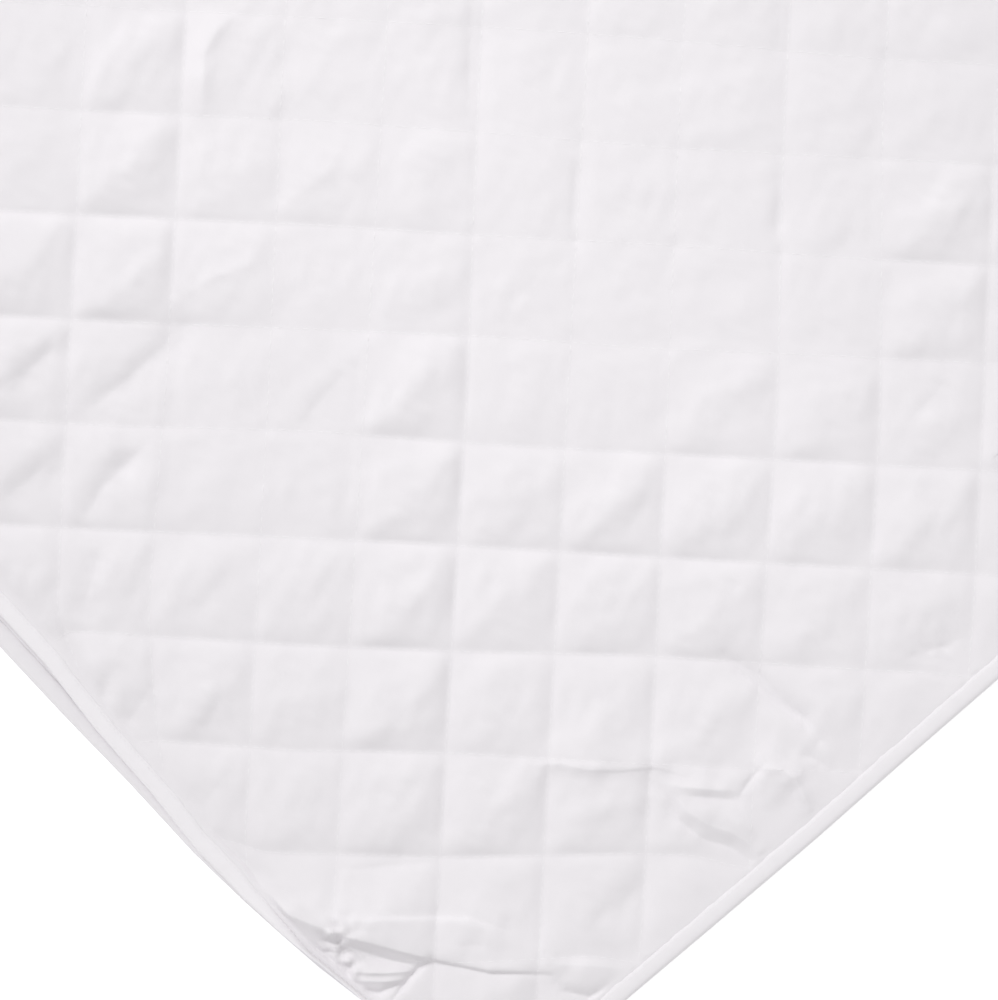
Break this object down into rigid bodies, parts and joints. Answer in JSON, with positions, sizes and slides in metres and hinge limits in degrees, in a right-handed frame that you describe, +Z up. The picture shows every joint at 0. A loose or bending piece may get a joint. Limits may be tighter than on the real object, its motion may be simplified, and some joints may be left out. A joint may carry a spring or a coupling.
{
  "type": "mattress protector",
  "caption": "Quilted white mattress protector with diamond stitching and a bound edge, folded once and lying flat with one corner gathered.",
  "frame": {"origin": "middle of the underside of the folded protector", "axes": "+X from the stacked ends to the fold, +Y from the right side to the left side across the bed, +Z up"},
  "size_m": [0.95, 0.9, 0.0215],
  "materials": {
    "quilted_cloth": "matt woven white cotton over thin wadding",
    "binding_tape": "matt white cotton tape"
  },
  "bodies": {
    "root": {"quilted_panel": "quilted_cloth", "binding_upper_end": "binding_tape", "binding_lower_end": "binding_tape", "binding_right_side": "binding_tape", "binding_left_side": "binding_tape"}
  },
  "joints": []
}
